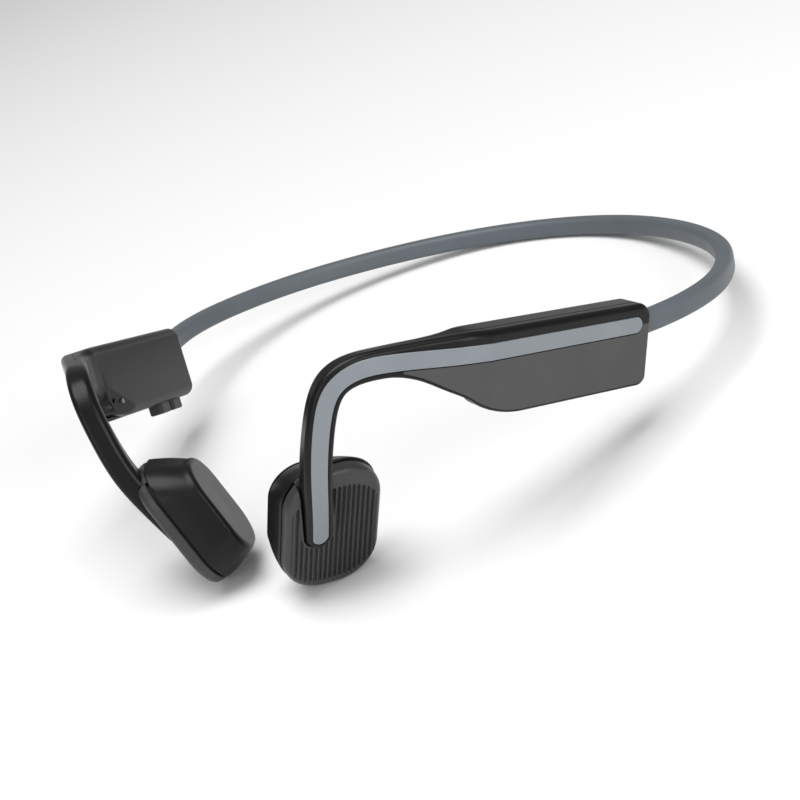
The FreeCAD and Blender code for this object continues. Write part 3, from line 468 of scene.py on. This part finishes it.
def rounded_rear(ring_of, radius):
    """Wraps a section so that its outer or inner face is rounded into the rear wall."""
    def section(place, point):
        take = rear_round(point[0], radius) if place <= 0 else 0.0
        return [(a, h + take * (1 if h < -SPLIT - 0.5 else -1 if h > -SPLIT + 0.6 else 0))
                for a, h in ring_of(place, point)]
    return section


def outer_plate(side):
    def layer(place, point):
        near_hook = ease(place / HOOK_START)
        return outer_layer(place, point, SPLIT, 0.5 + 0.25 * near_hook, 1.3 - 0.3 * near_hook, 0.1)

    ring = rounded_rear(layer, 0.45)
    points, count = lay_sections(HOUSING_PLACES, ring)
    points = lean_rear(points)
    faces = tube_faces(len(HOUSING_PLACES), count)
    piece = face_outward(mesh_piece(f"outer_plate_{side}", placed(UNIT, points), faces, SHELL, side))
    piece.data.materials.append(PLATE)
    flat = set(range(count - 7 - 20, count - 7))
    soft = [1 if len(face) == 4 and {min(v % count for v in face)} & flat else 0 for face in faces]
    piece.data.polygons.foreach_set("material_index", soft)
    return piece


def inner_shell(side):
    seam = SPLIT + SEAM_GAP

    def layer(place, point):
        return inner_layer(place, point, seam, 2.0 - 0.6 * ease(place / HOOK_START))

    ring = rounded_rear(layer, 1.5)
    points, count = lay_sections(HOUSING_PLACES, ring, seam)
    points = sink_facet(lean_rear(points))
    faces = tube_faces(len(HOUSING_PLACES), count)
    return face_outward(mesh_piece(f"inner_skin_{side}", placed(UNIT, points), faces, SHELL, side))


def ear_hook(side):
    points, count = lay_sections(
        HOOK_PLACES,
        lambda place, point: outer_layer(place, point, ARM_THICK, 0.75, 1.0, 1.4))
    faces = tube_faces(len(HOOK_PLACES), count)
    return face_outward(mesh_piece(f"hook_skin_{side}", placed(UNIT, points), faces, HOOK, side))


def trim_strip(side):
    """Satin strip: flat, its edges slightly rounded, with a half-round end at both ends."""
    cap = [math.sin(math.radians(a)) * STRIP_HALF for a in (0, 15, 30, 45, 57, 67, 75, 82, 87)]
    places = ([STRIP_REAR - FLAT_END - reach for reach in reversed(cap)] + RUN
              + list(np.linspace(0, LAST, 180)) + [LAST + reach for reach in cap[1:]])

    def section(place, point):
        past = place - LAST if place > LAST else max(STRIP_REAR - FLAT_END - place, 0)
        half = math.sqrt(max(STRIP_HALF ** 2 - past ** 2, 0.0004))
        edge, top, low = min(0.12, half * 0.5), 0.03, -0.66
        ring = between((-half + edge, top), (half - edge, top), 12)
        ring += corner_arc((half - edge, top - edge), edge, 90, 0, 4)
        ring += [(half, low), (0, low), (-half, low)]
        ring += corner_arc((-half + edge, top - edge), edge, 180, 90, 4)
        return ring

    points, count = lay_sections(places, section)
    faces = tube_faces(len(places), count)
    return face_outward(mesh_piece(f"satin_strip_{side}", placed(UNIT, points), faces, STRIP, side))


# ---------------------------------------------------------------- blocks with a shaped top

def block_columns(half, edge, step):
    """Places across a block: dense where its edge is rounded, then even."""
    steps = 7
    rim = [edge * (1 - math.cos(math.radians(90 * i / steps))) for i in range(steps)]
    inside = int((2 * half - 2 * edge) / step) + 1
    middle = np.linspace(-half + edge, half - edge, inside)
    return np.array([-half + r for r in rim] + list(middle) + [half - r for r in reversed(rim)])


def rectangle_inset(x, y, width, height, corner):
    """Distance inward from the outline of a round-cornered rectangle."""
    qx, qy = np.abs(x) - width / 2 + corner, np.abs(y) - height / 2 + corner
    outside = np.hypot(np.maximum(qx, 0), np.maximum(qy, 0))
    return corner - outside - np.minimum(np.maximum(qx, qy), 0)


def shaped_block(name, matrix, width, height, corner, depth, edge, relief, material, side,
                 column_step, rows):
    """Block with a round-cornered outline whose top is moved by relief(x, y, inset)."""
    columns = block_columns(width / 2, edge, column_step)
    reach = np.abs(columns) - width / 2 + corner
    limits = height / 2 - corner + np.sqrt(np.maximum(corner ** 2 - np.maximum(reach, 0) ** 2, 0))
    spread = np.linspace(-1, 1, rows)
    spread = spread * (1 - 0.22 * (1 - np.abs(spread)))
    x = np.repeat(columns[:, None], rows, 1)
    y = limits[:, None] * spread[None, :]
    inset = np.clip(rectangle_inset(x, y, width, height, corner), 0, None)
    near = np.clip(edge - inset, 0, edge)
    z = -(edge - np.sqrt(np.maximum(edge ** 2 - near ** 2, 0))) + relief(x, y, inset)
    top = np.stack([x, y, z], -1).reshape(-1, 3)
    count = len(columns)
    rim = ([(i, 0) for i in range(count)] + [(count - 1, j) for j in range(1, rows)]
           + [(i, rows - 1) for i in range(count - 2, -1, -1)] + [(0, j) for j in range(rows - 2, 0, -1)])
    rim_index = [i * rows + j for i, j in rim]
    faces = [(i * rows + j, (i + 1) * rows + j, (i + 1) * rows + j + 1, i * rows + j + 1)
             for i in range(count - 1) for j in range(rows - 1)]
    points = [top]
    start = len(top)
    last = rim_index
    for level, tuck in ((-edge - 0.05, 0.0), ((-edge - depth) / 2, 0.0), (-depth + 0.15, 0.0),
                        (-depth, 0.15)):
        ring = top[rim_index].copy()
        pull = 1 - tuck / (width / 2)
        ring[:, 0] *= pull
        ring[:, 1] *= pull
        ring[:, 2] = level
        points.append(ring)
        ids = [start + k for k in range(len(rim_index))]
        for k in range(len(ids)):
            after = (k + 1) % len(ids)
            faces.append((last[k], ids[k], ids[after], last[after]))
        last = ids
        start += len(ids)
    faces.append(tuple(last))
    return face_outward(mesh_piece(name, placed(matrix, np.concatenate(points)), faces, material, side))


FACE_WIDTH, FACE_HEIGHT, FACE_CORNER = 18.1, 25.6, 7.6
COVER_DEEP, COVER_EDGE = 2.45, 1.5
RIB_PITCH, RIB_DEPTH = 0.95, 0.55
PLAIN_TOP, PLAIN_FOOT, PLAIN_SIDE = 3.3, 1.2, 1.0      # margins of the face that have no ribs
PLAIN_BESIDE_ARM, ARM_ROOM, SLOT_DEEP = 0.55, 0.24, 1.5


def ribbed_cover(name, side):
    """Cover of a transducer: ribs down its face, smooth margins, and a slot for the hook's arm."""
    to_face = np.array(FACE.inverted() @ UNIT)
    arm = np.array([station(place)[0] for place in np.linspace(7, LAST, 120)])
    arm = arm @ to_face[:3, :3].T + to_face[:3, 3]

    def relief(x, y, inset):
        flat = np.stack([x.ravel(), y.ravel()], -1)
        distance = np.full(len(flat), 1e9)
        for centre in arm[:, :2]:
            distance = np.minimum(distance, np.hypot(flat[:, 0] - centre[0], flat[:, 1] - centre[1]))
        distance = distance.reshape(x.shape)
        wave = 0.5 - 0.5 * np.cos(2 * math.pi * x / RIB_PITCH)
        reach = np.maximum(np.abs(x) - FACE_WIDTH / 2 + FACE_CORNER, 0)
        limit = FACE_HEIGHT / 2 - FACE_CORNER + np.sqrt(np.maximum(FACE_CORNER ** 2 - reach ** 2, 0))
        from_end = np.where(y < 0, limit + y - PLAIN_TOP, limit - y - PLAIN_FOOT)
        from_side = FACE_WIDTH / 2 - PLAIN_SIDE - np.abs(x)
        into = np.clip(from_end / 0.6, 0, 1) * np.clip(from_side / 0.2, 0, 1)
        clear = np.clip((distance - ARM_HALF - PLAIN_BESIDE_ARM) / 0.3, 0, 1)
        z = -RIB_DEPTH * wave ** 1.2 * into * clear
        slot = np.clip((ARM_HALF + ARM_ROOM - distance) / 0.12, 0, 1)
        return z - slot * SLOT_DEEP

    return shaped_block(name, FACE, FACE_WIDTH, FACE_HEIGHT, FACE_CORNER, COVER_DEEP, COVER_EDGE,
                        relief, COVER, side, RIB_PITCH / 10, 240)


BELOW = turn("X", -90)                         # faces down out of the housing's lower wall
UP_X, DOWN_X, BUTTON_TOP, BUTTON_Z = 7.9, 13.9, 13.5, -0.9
BUTTON_SIZE, BUTTON_DEEP, BUTTON_GAP = (5.0, 3.2, 0.8), 3.5, (0.3, 0.3, 0.15)
RIDGE_PITCH, RIDGE_RISE = 1.4, 0.45


def button(name, centre_x):
    """Volume button: a soft head with raised ridges across it."""
    matrix = UNIT @ move(centre_x, BUTTON_TOP, BUTTON_Z) @ BELOW

    def relief(x, y, inset):
        wave = np.clip(np.cos(2 * math.pi * x / RIDGE_PITCH) * 1.6, -1, 1)
        inside = np.clip((inset - 0.15) / 0.25, 0, 1)
        return -RIDGE_RISE / 2 * (1 - wave) * inside

    return shaped_block(name, matrix, *BUTTON_SIZE, BUTTON_DEEP, 0.35, relief, BUTTON, "right", 0.1, 24)


FLAP_X, FLAP_TOP, FLAP_Z = 31.4, 11.42, 0.4
FLAP_SIZE = (12.3, 4.2, 0.9)


def socket_flap():
    """Soft cover of the charging socket, with a nail notch at its free end."""
    matrix = UNIT @ move(FLAP_X, FLAP_TOP, FLAP_Z) @ BELOW

    def relief(x, y, inset):
        notch = np.clip(1 - np.hypot((x - 5.6) / 0.7, y / 1.1), 0, 1)
        border = np.exp(-((inset - 0.55) / 0.12) ** 2) * 0.05
        return -notch * 0.35 - border

    return shaped_block("socket_flap", matrix, *FLAP_SIZE, 0.8, 0.25, relief, BUTTON, "right", 0.12, 30)


# ---------------------------------------------------------------- ear pad

def ear_pad(side):
    """Silicone pad: a tapering wall that swells a little, and a flat that rests on the cheekbone."""
    # each level: depth, width, height, corner radius, and how far its middle lies across and down
    levels = [(-2.98, 17.7, 25.2, 6.8, 0.0, 0.0), (-3.06, 17.95, 25.45, 6.9, 0.0, 0.0),
              (-3.25, 18.1, 25.6, 7.0, 0.0, 0.0)]
    for i in range(1, 13):
        t = i / 13
        swell = 0.35 * math.sin(math.pi * t)
        levels.append((-3.25 - 6.1 * t, 18.1 - 2.45 * t + swell, 25.6 - 5.6 * t + swell,
                       7.0 - 0.8 * t, 0.7 * t, 1.25 * t))
    for i in range(9):
        t = math.radians(90 * i / 8)
        levels.append((-9.35 - 1.0 * math.sin(t), 15.65 - 2.0 * (1 - math.cos(t)),
                       20.0 - 2.0 * (1 - math.cos(t)), 6.2 - 0.7 * (1 - math.cos(t)), 0.7, 1.25))
    rings = []
    for z, width, height, corner, dx, dy in levels:
        outline = round_outline(width, height, corner)
        rings.append(np.column_stack([outline + (dx, dy), np.full(len(outline), z)]))
    outline = round_outline(13.65, 18.0, 5.5)
    for shrink in (0.96, 0.85, 0.7, 0.5, 0.3, 0.12):
        sag = -10.35 + 0.10 * (1 - shrink) ** 2
        rings.append(np.column_stack([outline * shrink + (0.7, 1.25), np.full(len(outline), sag)]))
    count = len(rings[0])
    faces = tube_faces(len(rings), count)
    piece = mesh_piece(f"cheek_pad_{side}", placed(FACE, np.concatenate(rings)), faces, PAD, side)
    return face_outward(piece)


# ---------------------------------------------------------------- neckband

# radius and length of each arc of the band's line, from the middle of its back
ARCS = ((58.8, 29.0), (72.3, 29.0), (58.1, 29.0), (37.9, 29.0))


def band_half(step=0.9):
    """Points and headings of half the band's line, from the middle of its back."""
    point, heading = np.array([0.0, 0.0]), 0.0
    line = [(point.copy(), heading)]
    for radius, length in ARCS:
        centre = point + np.array([math.cos(heading), -math.sin(heading)]) * radius
        steps = int(length / step)
        for i in range(1, steps + 1):
            angle = heading + length / radius * i / steps
            line.append((centre + np.array([-math.cos(angle), math.sin(angle)]) * radius, angle))
        point, heading = line[-1]
    for run in (0.8, 1.7, 2.6):
        line.append((point + np.array([math.sin(heading), math.cos(heading)]) * run, heading))
    return line


def neckband():
    """Silicone band of a rounded section, a little flatter on its outer side."""
    half = [(p, np.array([math.cos(angle), -math.sin(angle)])) for p, angle in band_half()]
    line = [(p * (1, -1), inward * (1, -1)) for p, inward in reversed(half[1:])] + half
    section = []
    # each corner: its centre and radius, and the angle at which its quarter turn begins
    for (cx, cz, radius), start in (((0.55, 0.83, 1.22), 0), ((-0.75, 0.98, 1.07), 90),
                                    ((-0.75, -0.98, 1.07), 180), ((0.55, -0.83, 1.22), 270)):
        arc = corner_arc((cx, cz), radius, start, start + 90, 10)
        if section:
            section += between(section[-1], arc[0], 5)
        section += arc
    section += between(section[-1], section[0], 5)
    points = []
    for centre, inward in line:
        for a, h in section:
            x, y = centre + inward * a
            points.append((x, y, h))
    faces = tube_faces(len(line), len(section))
    return face_outward(mesh_piece("neckband_skin", placed(BAND, points), faces, SILICONE))


# ---------------------------------------------------------------- openings of the right housing

def cutter(matrix, width, height, corner, low, high):
    """Block that is cut out of the right housing, from low to high along its own Z."""
    outline = round_outline(width, height, corner, 6)
    rings = [np.column_stack([outline, np.full(len(outline), z)]) for z in (low, high)]
    return face_outward(mesh_piece("cutter", placed(matrix, np.concatenate(rings)),
                                   tube_faces(2, len(outline)), CASE, "right"))


def carve(piece, cutters):
    """Exact difference of the piece and each cutter, applied to its mesh."""
    for tool in cutters:
        modifier = piece.modifiers.new("carve", "BOOLEAN")
        modifier.operation = "DIFFERENCE"
        modifier.solver = "EXACT"
        modifier.object = tool
    bpy.context.view_layer.update()
    evaluated = piece.evaluated_get(bpy.context.evaluated_depsgraph_get())
    carved = bpy.data.meshes.new_from_object(evaluated)
    piece.modifiers.clear()
    old = piece.data
    piece.data = carved
    bpy.data.meshes.remove(old)
    material = carved.materials[0]
    carved.materials.clear()
    carved.materials.append(material)
    carved.polygons.foreach_set("material_index", [0] * len(carved.polygons))
    carved.set_sharp_from_angle(angle=SHARP_ANGLE)


def opening_cutters():
    """Four openings in the lower wall, then the two holes in the inner face."""
    hole = [size + gap for size, gap in zip(BUTTON_SIZE, BUTTON_GAP)]
    flap_recess = UNIT @ move(FLAP_X - 0.05, 10.55, FLAP_Z) @ BELOW
    socket_mouth = UNIT @ move(FLAP_X, 3.5, FLAP_Z) @ BELOW
    microphone_hole = UNIT @ move(39.0, 7.7, -5)
    window_hole = UNIT @ move(36.2, 8.3, -5)
    return [cutter(UNIT @ move(UP_X, 9.5, BUTTON_Z) @ BELOW, *hole, 0, 4),
            cutter(UNIT @ move(DOWN_X, 9.5, BUTTON_Z) @ BELOW, *hole, 0, 4),
            cutter(flap_recess, 12.7, 4.5, 1.0, 0, 3),
            cutter(socket_mouth, 9.3, 3.5, 1.5, 0, 8),
            cutter(microphone_hole, 0.9, 0.9, 0.44, 0, 2.6),
            cutter(window_hole, 1.0, 1.0, 0.49, 0, 2.6)]


# ---------------------------------------------------------------- the pieces

BODY = {"left": "left_side", "right": "right_side"}


def add(piece, body, slot, *nodes):
    """The piece rides on the body and stands for the nodes, which are hidden; the slot is not used."""
    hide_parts(*nodes)
    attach(piece, body)
    return piece


tools = opening_cutters()
for side in ("left", "right"):
    body = BODY[side]
    plate, shell = outer_plate(side), inner_shell(side)
    if side == "right":
        carve(plate, tools[:4])
        carve(shell, tools)
    add(plate, body, "shell_plastic", f"outer_shell_{side}")
    add(shell, body, "shell_plastic", f"inner_shell_{side}")
    add(ear_hook(side), body, "hook_skin", f"ear_hook_{side}")
    add(trim_strip(side), body, "strip_plastic", f"trim_strip_{side}")
    add(ear_pad(side), body, "pad_silicone", f"ear_pad_{side}")
for tool in tools:
    mesh = tool.data
    bpy.data.objects.remove(tool)
    bpy.data.meshes.remove(mesh)

add(ribbed_cover("function_button_cap", "left"), "function_button", "ribbed_cover", "function_button")
add(ribbed_cover("ribbed_cover_cap", "right"), "right_side", "ribbed_cover", "ribbed_cover_right")
add(button("volume_up_cap", UP_X), "volume_up", "button_rubber", "volume_up_button")
add(button("volume_down_cap", DOWN_X), "volume_down", "button_rubber", "volume_down_button")
add(socket_flap(), "usb_cover", "button_rubber", "usb_cover_flap")

band = neckband()
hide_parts("neckband_sleeve", "neckband_core", "neckband_loom")
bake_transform(band)


# ---------------------------------------------------------------- stage, light and camera

def stage_floor():
    mesh = bpy.data.meshes.new("floor")
    reach = 2.2
    corners = [(-reach, -reach, 0), (reach, -reach, 0), (reach, reach, 0), (-reach, reach, 0)]
    mesh.from_pydata(corners, [], [(0, 1, 2, 3)])
    floor = bpy.data.objects.new("floor", mesh)
    bpy.context.scene.collection.objects.link(floor)
    material, shader = principled("floor_paper", (0.86, 0.86, 0.86), 0.75)
    texture = noise(material.node_tree, 60)
    bump = material.node_tree.nodes.new("ShaderNodeBump")
    bump.inputs["Strength"].default_value = 0.05
    bump.inputs["Distance"].default_value = 0.0001
    material.node_tree.links.new(texture.outputs["Fac"], bump.inputs["Height"])
    material.node_tree.links.new(bump.outputs["Normal"], shader.inputs["Normal"])
    mesh.materials.append(material)


def area_light(name, place, target, size, power):
    light = bpy.data.lights.new(name, "AREA")
    light.shape = "SQUARE"
    light.size = size
    light.energy = power
    lamp = bpy.data.objects.new(name, light)
    bpy.context.scene.collection.objects.link(lamp)
    lamp.location = place
    lamp.rotation_euler = (Vector(target) - Vector(place)).to_track_quat("-Z", "Y").to_euler()


def photo_camera():
    """Camera of the photograph, placed in the band's frame before the object was stood up."""
    azimuth, elevation, roll = math.radians(35.63), math.radians(19.47), math.radians(-15.31)
    target, distance = Vector((59.88, -13.07, -17.14)), 369.41
    back = Vector((math.cos(elevation) * math.cos(azimuth), math.cos(elevation) * math.sin(azimuth),
                   math.sin(elevation)))
    level_right = Vector((-math.sin(azimuth), math.cos(azimuth), 0))
    level_up = back.cross(level_right)
    right = level_right * math.cos(roll) + level_up * math.sin(roll)
    up = level_up * math.cos(roll) - level_right * math.sin(roll)
    lens = bpy.data.cameras.new("camera")
    lens.lens = 76.545
    lens.sensor_width = 36
    lens.clip_start = 0.01
    camera = bpy.data.objects.new("camera", lens)
    bpy.context.scene.collection.objects.link(camera)
    pose = STAND @ move(*(target + back * distance)) @ Matrix((right, up, back)).transposed().to_4x4()
    pose.translation = pose.translation * MM
    camera.matrix_world = pose
    bpy.context.scene.camera = camera


def even_world(strength):
    world = bpy.data.worlds.new("studio")
    bpy.context.scene.world = world
    world.use_nodes = True
    background = world.node_tree.nodes["Background"]
    background.inputs["Color"].default_value = (1, 1, 1, 1)
    background.inputs["Strength"].default_value = strength


stage_floor()
photo_camera()
middle = (0.02, 0.0, 0.02)
area_light("overhead", (0.10, 0.0, 0.95), middle, 0.7, 8.6)
area_light("key", (0.25, 0.75, 0.32), middle, 0.5, 3.2)
area_light("front", (0.8, 0.1, 0.35), middle, 0.5, 1.4)
even_world(0.26)
bpy.context.scene.view_settings.view_transform = "Standard"
